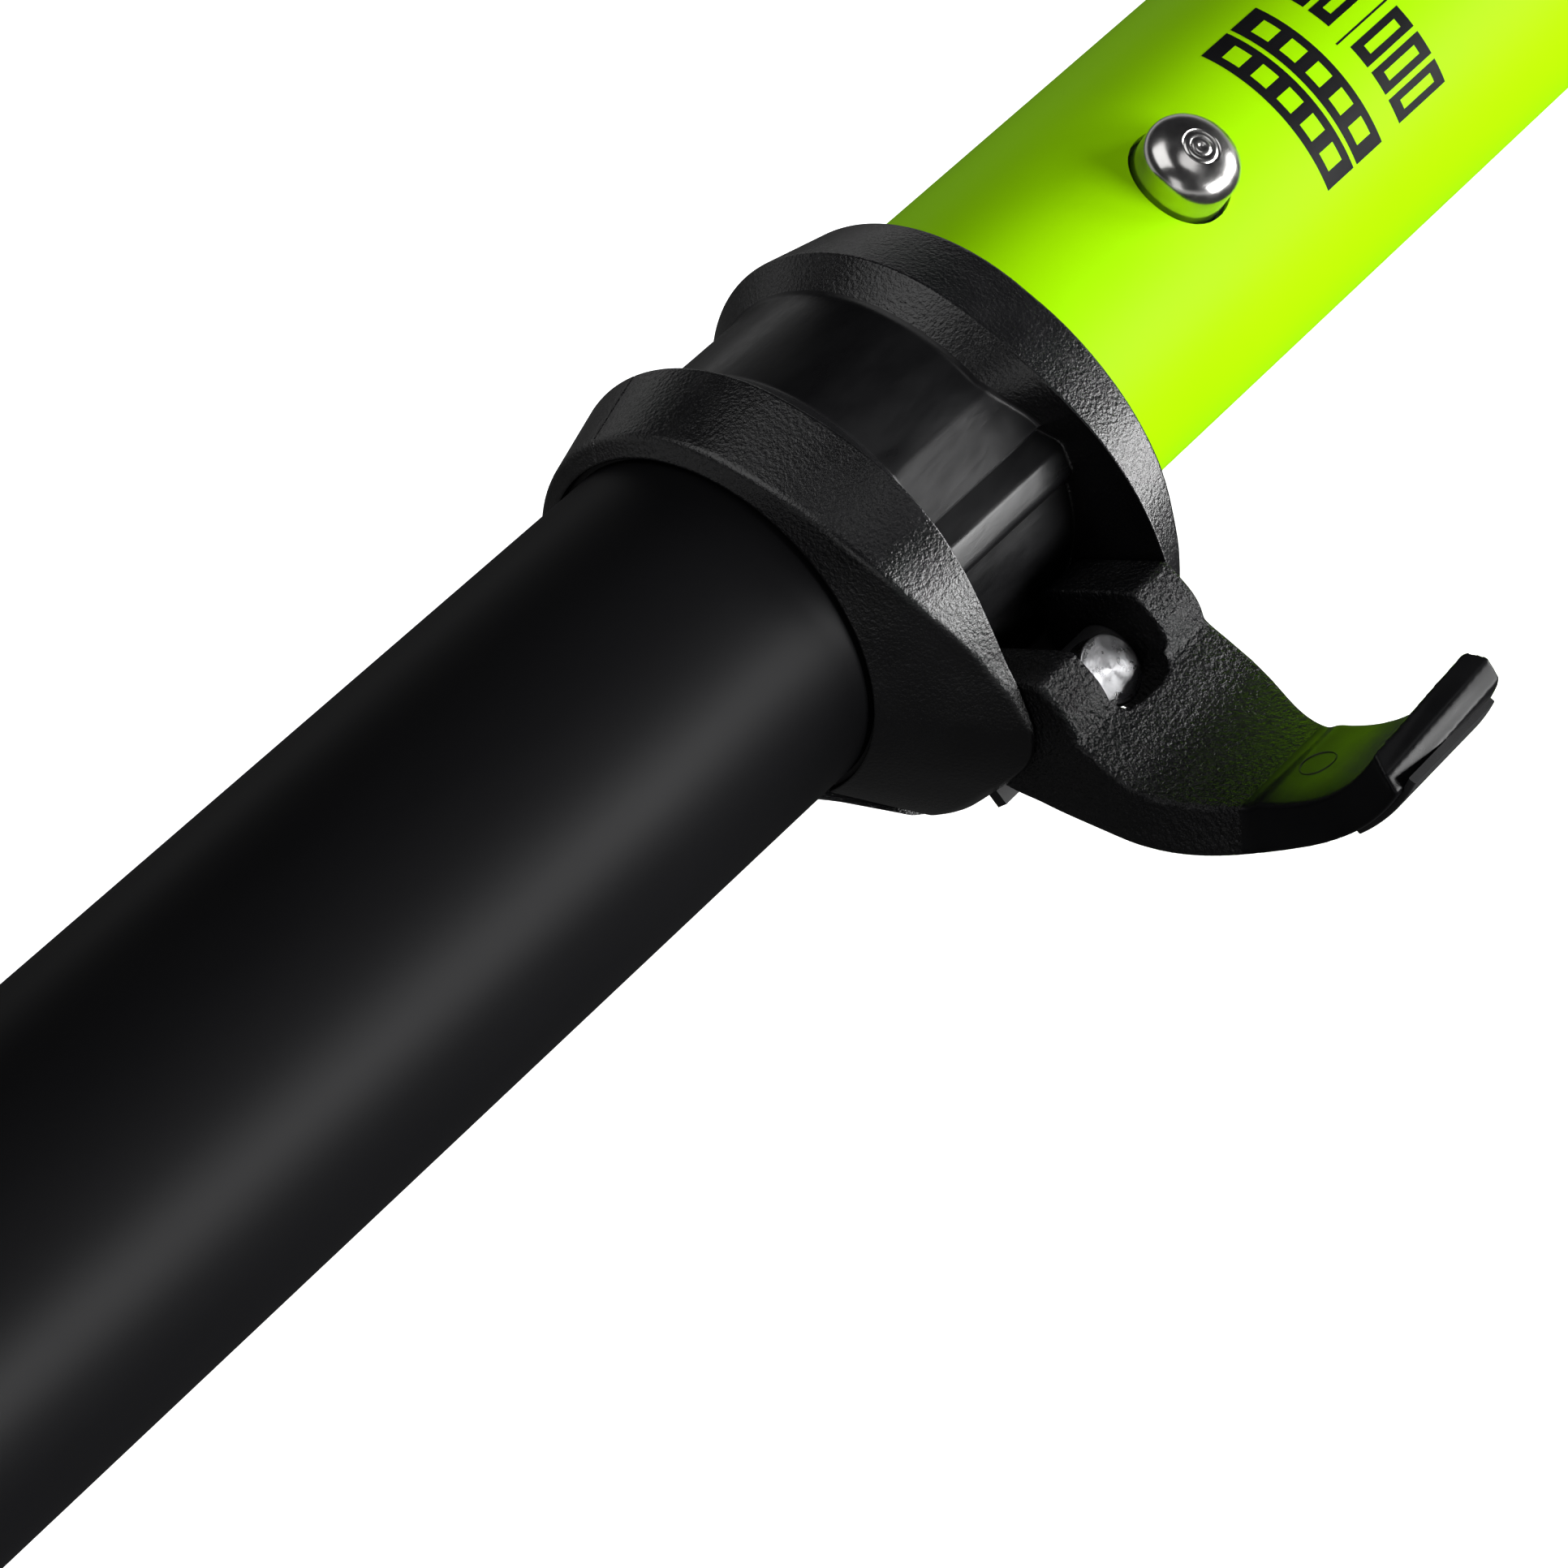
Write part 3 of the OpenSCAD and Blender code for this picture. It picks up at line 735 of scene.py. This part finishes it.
class PADDLE_OT_hinge(PaddleOperator):
    """The barrel pin, the tension bolt with its turned end, the saddle, the washer and the nut"""

    bl_idname = "paddle.hinge"
    bl_label = "Hinge hardware"

    def execute(self, context):
        bright = finish("turned_bolt_end", (0.4, 0.4, 0.41), 0.28, 1.0, grain=0.3, depth=0.0015, patch=1.2,
                        rough_shift=0.08, tint=0.2, rings=0.16)
        oxide = finish("black_oxide_steel", (0.01, 0.01, 0.011), 0.5, 0.0, grain=0.12, depth=0.004, patch=3)
        for name in ("barrel_pin", "cam_saddle", "bolt_washer"):
            dress(name, oxide)
        outline = soften(BOLT_OUTLINE, [0, 0.4, 0.1, 0.2, 0.22, 0], closed=False)
        bolt = mesh_object("tension_bolt_turned", lathe(outline, FINE_SIDES, False), AT_BOLT, 40)
        finished(bolt, [bright, oxide], "black_half", "bolt_bright", "tension_bolt")
        for polygon in bolt.data.polygons:
            polygon.material_index = int(polygon.center.z < 0)      # only the head is machined bright
        hexagon = [hexagon_ring(h, r) for h, r in soften(NUT_OUTLINE, 0.3)]
        walls = np.transpose(np.array(hexagon), (1, 0, 2))
        nut = mesh_object("adjusting_nut", loft(walls, around=True), AT_BOLT, 25)
        finished(nut, [oxide], "tension_nut", "pin_steel", "adjust_nut")
        return {"FINISHED"}


# ---------- snap button ----------
# (height from the shaft's axis, radius): a flange inside, then the dome with the marks of its turning
DOME_OUTLINE = [(7, 0), (7, 1.6), (9.4, 1.6), (9.4, 5), (10.4, 5), (10.4, 4.16), (16.55, 4.16), (16.9, 4.12),
                (17.25, 3.98), (17.6, 3.72), (17.92, 3.36), (18.17, 2.92), (18.35, 2.45), (18.47, 1.98),
                (18.54, 1.68), (18.48, 1.6), (18.46, 1.5), (18.54, 1.42), (18.6, 1.2), (18.62, 1.02),
                (18.55, 0.94), (18.55, 0.86), (18.64, 0.78), (18.68, 0.5), (18.66, 0.28), (18.6, 0.2),
                (18.6, 0)]


class PADDLE_OT_button(PaddleOperator):
    """The polished snap button with the rings left by its lathe"""

    bl_idname = "paddle.button"
    bl_label = "Snap button"

    def execute(self, context):
        polished = finish("polished_button_steel", (0.52, 0.51, 0.5), 0.2, 1.0, grain=0.6, depth=0.002,
                          patch=2.2, rough_shift=0.05, tint=0.12)
        button = mesh_object("snap_button_dome", lathe(DOME_OUTLINE, 128, False), AT_BUTTON, 50)
        finished(button, [polished], "button", "button_steel", "snap_button")
        leaf = finish("spring_leaf_steel", (0.36, 0.36, 0.38), 0.32, 1.0, grain=0.2, depth=0.004, patch=6)
        dress("spring_clip", leaf)
        return {"FINISHED"}


# ---------- drip rings ----------
DRIP_INSET = 110                          # from each blade's root
DRIP_GAP = 0.05


class PADDLE_OT_drip_rings(PaddleOperator):
    """The two rubber cups that stop water from running down the shaft"""

    bl_idname = "paddle.drip_rings"
    bl_label = "Drip rings"

    def execute(self, context):
        rubber = finish("drip_ring_rubber", (0.012, 0.012, 0.013), 0.55, grain=0.25, depth=0.012, patch=5)
        for side, name, radius in ((-1, "black", BLACK_R), (1, "green", GREEN_R)):
            bore = radius + DRIP_GAP
            corners = [(0, bore), (-7, bore), (-7, bore + 2), (-6, bore + 4.2), (-3.2, bore + 3.4),
                       (-2.4, bore + 4.3), (4.6, bore + 4.4), (6.4, 23), (13, 29), (14, 29), (14, 27.8),
                       (8.5, 22), (7, bore + 2.8), (0, bore + 2.6)]
            facing = Matrix.Rotation(side * math.radians(90), 4, "Y")
            place = ON_AXIS @ shifted(side * (SHAFT_END - DRIP_INSET), 0, 0) @ facing
            cup = mesh_object(name + "_drip_cup", lathe(soften(corners, 0.5), 128), place, 50)
            node_name = "drip_ring_" + name
            finished(cup, [rubber], name + "_drip_ring", "seal_rubber", node_name)
        return {"FINISHED"}


# ---------- blades ----------
BLADE_LENGTH = 470.0
BLADE_HALF = 91.0
TIP_TRIM = 2.0
NECK_R = 15.0
WIDEST = 0.6                              # share of the length where the blade is widest
SPOON = 40
LEAN = 0.16
STUB_R = BORE_R - 0.06
# (along the shaft from the blade's root, radius)
STUB = ((-60, 12.9), (-59.4, STUB_R), (0, STUB_R), (0, 14.9), (0.15, NECK_R))


def half_width(u):
    """Half the blade's width at a share of its length."""
    if u < WIDEST:
        return NECK_R + (BLADE_HALF - NECK_R) * math.sin(math.radians(90 * (u / WIDEST) ** 0.86)) ** 1.12
    return BLADE_HALF * max(0.0, 1 - ((u - WIDEST) / 0.4) ** 2.7) ** (1 / 2.7)


def blade_ring(u, count=96):
    """One cross-section of the blade, from round neck to thin leaf."""
    ring = []
    width, settle = half_width(u), smooth(u * BLADE_LENGTH / 60)
    drop = -SPOON * u ** 1.7
    for a in np.linspace(0, 2 * math.pi, count, endpoint=False):
        v, side = math.cos(a), math.sin(a)
        thick = 0.9 + (1 - v * v) + (8.5 * (1 - u) ** 2 + 0.6) * math.exp(-(v * (3 + 6 * u)) ** 2)
        bead = 0.35 * math.exp(-((abs(v) - 0.955) / 0.02) ** 2) * settle
        flat_z = drop - 9 * v * v * (width / BLADE_HALF) ** 1.5 + math.copysign(
            (thick + bead) * abs(side) ** 0.35, side)
        lean = LEAN * v * width * smooth((u - 0.1) / 0.9)
        ring.append((u * (BLADE_LENGTH - TIP_TRIM) + lean,
                     (1 - settle) * NECK_R * v + settle * v * width,
                     (1 - settle) * (NECK_R * side + drop) + settle * flat_z))
    return ring


class PADDLE_OT_blades(PaddleOperator):
    """The two spooned blades with a raised spine and a beaded edge"""

    bl_idname = "paddle.blades"
    bl_label = "Blades"

    def execute(self, context):
        resin = finish("blade_resin", (0.012, 0.012, 0.013), 0.42, grain=0.7, depth=0.02, patch=16,
                       rough_shift=0.08, tint=0.3, extra={"Specular IOR Level": 0.3})
        rivet = finish("rivet_steel", (0.55, 0.55, 0.56), 0.28, 1.0, grain=0.3, depth=0.004, patch=2)
        shares = np.concatenate([np.linspace(0.004, 0.145, 22), np.linspace(0.155, 0.93, 52),
                                 np.linspace(0.94, 0.9965, 12)])
        for side, name in ((-1, "black"), (1, "green")):
            turn = np.linspace(0, 2 * math.pi, 96, endpoint=False)
            rings = [[(x, r * math.cos(a), r * math.sin(a)) for a in turn] for x, r in STUB]
            rings += [blade_ring(u) for u in shares]
            verts, faces = loft(rings)
            verts[:, 0] = side * (verts[:, 0] + SHAFT_END)
            leaf = mesh_object(name + "_blade_leaf", (verts, faces), ON_AXIS, 45)
            finished(leaf, [resin], name + "_half", "blade_nylon", "blade_" + name)
            dress("blade_rivets_" + name, rivet)
        return {"FINISHED"}


# ---------- pieces inside the shaft ----------
class PADDLE_OT_inside(PaddleOperator):
    """Finishes for the insert, its bushing and seal, and the foam plugs"""

    bl_idname = "paddle.inside"
    bl_label = "Inside the shaft"

    def execute(self, context):
        alloy = finish("insert_drawn_alloy", (0.36, 0.365, 0.37), 0.34, 1.0, grain=0.15, depth=0.004,
                       patch=7, stretch=(0.08, 1, 1))
        acetal = finish("bushing_acetal", (0.62, 0.62, 0.58), 0.45, grain=0.2, depth=0.006, patch=4)
        seal = finish("seal_rubber", (0.012, 0.012, 0.012), 0.5, grain=0.15, depth=0.006, patch=3)
        foam = finish("closed_cell_foam", (0.6, 0.57, 0.48), 0.8, grain=0.8, depth=0.25, patch=5, tint=0.2)
        plug = finish("end_plug_nylon", (0.02, 0.02, 0.022), 0.45, grain=0.2, depth=0.01, patch=4)
        for name, material in (("ferrule_insert", alloy), ("guide_bushing", acetal), ("o_ring", seal),
                               ("foam_plug_black", foam), ("foam_plug_green", foam),
                               ("insert_end_plug", plug)):
            dress(name, material)
        return {"FINISHED"}


# ---------- stage ----------
CAMERA_AT = Vector((-0.28735, -0.2108, 0.36593))
CAMERA_LOOK = Vector((0.5675, 0.4270, -0.7040))


LENS = 141.8
SENSOR = 36
LIT_AT = Vector((0.01, 0, AXIS_HEIGHT * MM))
FLOOR_DROP = -0.3                         # keeps the floor just clear of the blades
# (name, where it stands from the clamp and its size in metres, power in watts)
SOFTBOXES = (("front_softbox", (1.05, -2.76, 0.45), (1.86, 1.08), 135),
             ("rim_softbox", (2.46, -1.56, 0.48), (1.08, 0.9), 60),
             ("high_softbox", (0.66, -1.08, 2.64), (0.96, 0.96), 4),
             ("top_softbox", (-1.35, 1.35, 3.6), (3.3, 3.3), 60),
             ("side_softbox", (-3.3, -1.5, 1.35), (1.5, 2.1), 11))
SKY_BELOW = (0.4, (0.06, 0.06, 0.06, 1))  # (height from straight down to straight up, colour)
SKY_ABOVE = (0.62, (0.03, 0.03, 0.032, 1))
SKY_BAND = ((0.48, 0.6), (0.52, 0.6))     # a pale band at eye height


def aimed(location, look):
    """A place and a direction as a matrix for a camera or a light."""
    return Matrix.Translation(location) @ look.to_track_quat("-Z", "Y").to_matrix().to_4x4()


def softbox(name, offset, size, energy):
    """A soft light some way from the clamp, facing it."""
    lamp = bpy.data.lights.new(name, "AREA")
    lamp.shape = "RECTANGLE"
    lamp.size, lamp.size_y = size
    lamp.energy = energy
    made = bpy.data.objects.new(name, lamp)
    bpy.context.scene.collection.objects.link(made)
    made.matrix_world = aimed(LIT_AT + Vector(offset), -Vector(offset))
    made.visible_camera = False


class PADDLE_OT_stage(PaddleOperator):
    """The pale floor, the soft lights, the studio around them and the camera"""

    bl_idname = "paddle.stage"
    bl_label = "Stage"

    def execute(self, context):
        scene = context.scene
        scene.view_settings.view_transform = "Standard"
        side = self.looks().floor_size / MM / 2
        corners = [(-side, -side, 0), (side, -side, 0), (side, side, 0), (-side, side, 0)]
        floor = mesh_object("floor", (corners, [(0, 1, 2, 3)]), shifted(0, 0, FLOOR_DROP))
        pale = finish("pale_floor", (0.88, 0.88, 0.88), 0.7, grain=3, depth=0.02, patch=400, tint=0.01,
                      extra={"Emission Color": (1, 1, 1, 1), "Emission Strength": 1.0})
        floor.data.materials.append(pale)
        # The sheet neither lights the paddle nor shades the softboxes
        floor.visible_diffuse = floor.visible_glossy = floor.visible_shadow = False

        world = bpy.data.worlds.new("studio")
        scene.world = world
        world.use_nodes = True
        tree = world.node_tree
        sky = tree.nodes["Background"]
        place = node(tree, "ShaderNodeTexCoord")
        height = node(tree, "ShaderNodeSeparateXYZ")
        upward = node(tree, "ShaderNodeMapRange", {"From Min": -1.0, "From Max": 1.0})
        shades = node(tree, "ShaderNodeValToRGB")
        low, high = shades.color_ramp.elements
        low.position, low.color = SKY_BELOW
        high.position, high.color = SKY_ABOVE
        for place_up, level in SKY_BAND:
            band = shades.color_ramp.elements.new(place_up)
            band.color = (level, level, level, 1)
        tree.links.new(place.outputs["Generated"], height.inputs["Vector"])
        tree.links.new(height.outputs["Z"], upward.inputs["Value"])
        tree.links.new(upward.outputs["Result"], shades.inputs["Fac"])
        tree.links.new(shades.outputs["Color"], sky.inputs["Color"])
        sky.inputs["Strength"].default_value = 1.0

        for settings in SOFTBOXES:
            softbox(*settings)

        camera = bpy.data.cameras.new("studio_camera")
        camera.lens = LENS
        camera.sensor_width = SENSOR
        camera.clip_start = 0.01
        camera.clip_end = 60
        held = bpy.data.objects.new("studio_camera", camera)
        scene.collection.objects.link(held)
        held.matrix_world = aimed(CAMERA_AT, CAMERA_LOOK)
        scene.camera = held
        return {"FINISHED"}


STEPS = (PADDLE_OT_stage, PADDLE_OT_shafts, PADDLE_OT_marks, PADDLE_OT_clamp, PADDLE_OT_lever,
         PADDLE_OT_hinge, PADDLE_OT_button, PADDLE_OT_drip_rings, PADDLE_OT_blades, PADDLE_OT_inside)


class PADDLE_PT_sidebar(bpy.types.Panel):
    """Lists the steps that build the paddle"""

    bl_idname = "PADDLE_PT_sidebar"
    bl_label = "Lever-lock paddle"
    bl_space_type = "VIEW_3D"
    bl_region_type = "UI"
    bl_category = "Paddle"

    def draw(self, context):
        looks = context.scene.paddle_looks
        for name in ("black", "lime", "edge_round", "grain_size", "floor_size"):
            self.layout.prop(looks, name)
        for step in STEPS:
            self.layout.operator(step.bl_idname)


def register():
    """Adds the classes and the scene's settings."""
    for cls in (PaddleLooks, *STEPS, PADDLE_PT_sidebar):
        bpy.utils.register_class(cls)
    bpy.types.Scene.paddle_looks = bpy.props.PointerProperty(type=PaddleLooks)


def unregister():
    """Takes the classes and the settings away again."""
    del bpy.types.Scene.paddle_looks
    for cls in (PADDLE_PT_sidebar, *reversed(STEPS), PaddleLooks):
        bpy.utils.unregister_class(cls)


def main():
    """Builds everything."""
    register()
    for step in STEPS:
        group, name = step.bl_idname.split(".")
        getattr(getattr(bpy.ops, group), name)()


if __name__ == "__main__":
    main()
